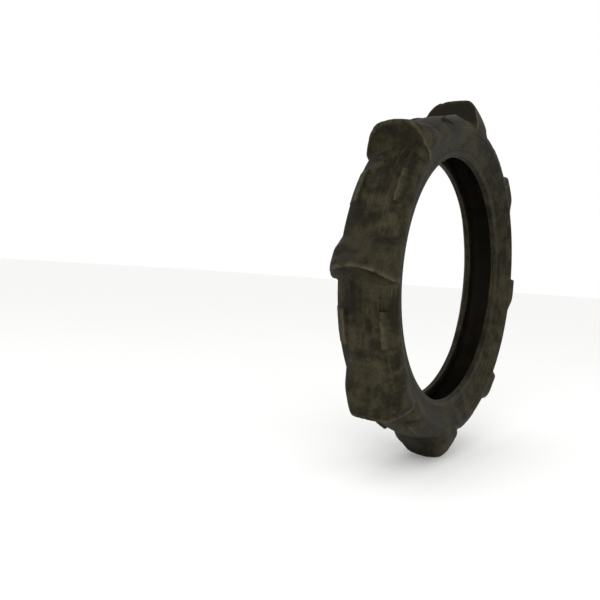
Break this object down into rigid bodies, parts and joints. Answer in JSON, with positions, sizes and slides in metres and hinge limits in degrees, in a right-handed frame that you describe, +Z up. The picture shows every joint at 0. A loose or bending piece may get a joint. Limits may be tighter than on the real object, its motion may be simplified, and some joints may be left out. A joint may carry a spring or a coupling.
{
  "type": "motorcycle tire",
  "caption": "Rear sand-paddle motorcycle tire with a smooth carcass, scooped paddles across the tread and short shoulder ribs.",
  "frame": {"origin": "centre of the tire, on the wheel axis and on the mid-plane", "axes": "+Y along the wheel axis, +Z up, +X forward; spins about +Y"},
  "size_m": [0.7224, 0.121, 0.7224],
  "materials": {
    "tread_rubber": "worn matte",
    "paddle_rubber": "worn satin",
    "sidewall_rubber": "dusty matte",
    "chafer_rubber": "satin",
    "filler_rubber": "matte",
    "liner_rubber": "satin",
    "ply_fabric": "rubbered cord",
    "bead_wire": "bronze-coated"
  },
  "bodies": {
    "root": {"inner_liner": "liner_rubber", "body_ply_inner": "ply_fabric", "body_ply_outer": "ply_fabric", "breaker_ply": "ply_fabric", "bead_core_left": "bead_wire", "bead_core_right": "bead_wire", "bead_wrap_left": "ply_fabric", "bead_wrap_right": "ply_fabric", "bead_filler_left": "filler_rubber", "bead_filler_right": "filler_rubber", "chafer_left": "chafer_rubber", "chafer_right": "chafer_rubber", "sidewall_left": "sidewall_rubber", "sidewall_right": "sidewall_rubber", "undertread": "filler_rubber", "tread_cap": "tread_rubber", "shoulder_ribs_left": "tread_rubber", "shoulder_ribs_right": "tread_rubber", "paddle_1": "paddle_rubber", "paddle_2": "paddle_rubber", "paddle_3": "paddle_rubber", "paddle_4": "paddle_rubber", "paddle_5": "paddle_rubber", "paddle_6": "paddle_rubber", "paddle_7": "paddle_rubber", "paddle_8": "paddle_rubber"}
  },
  "joints": []
}
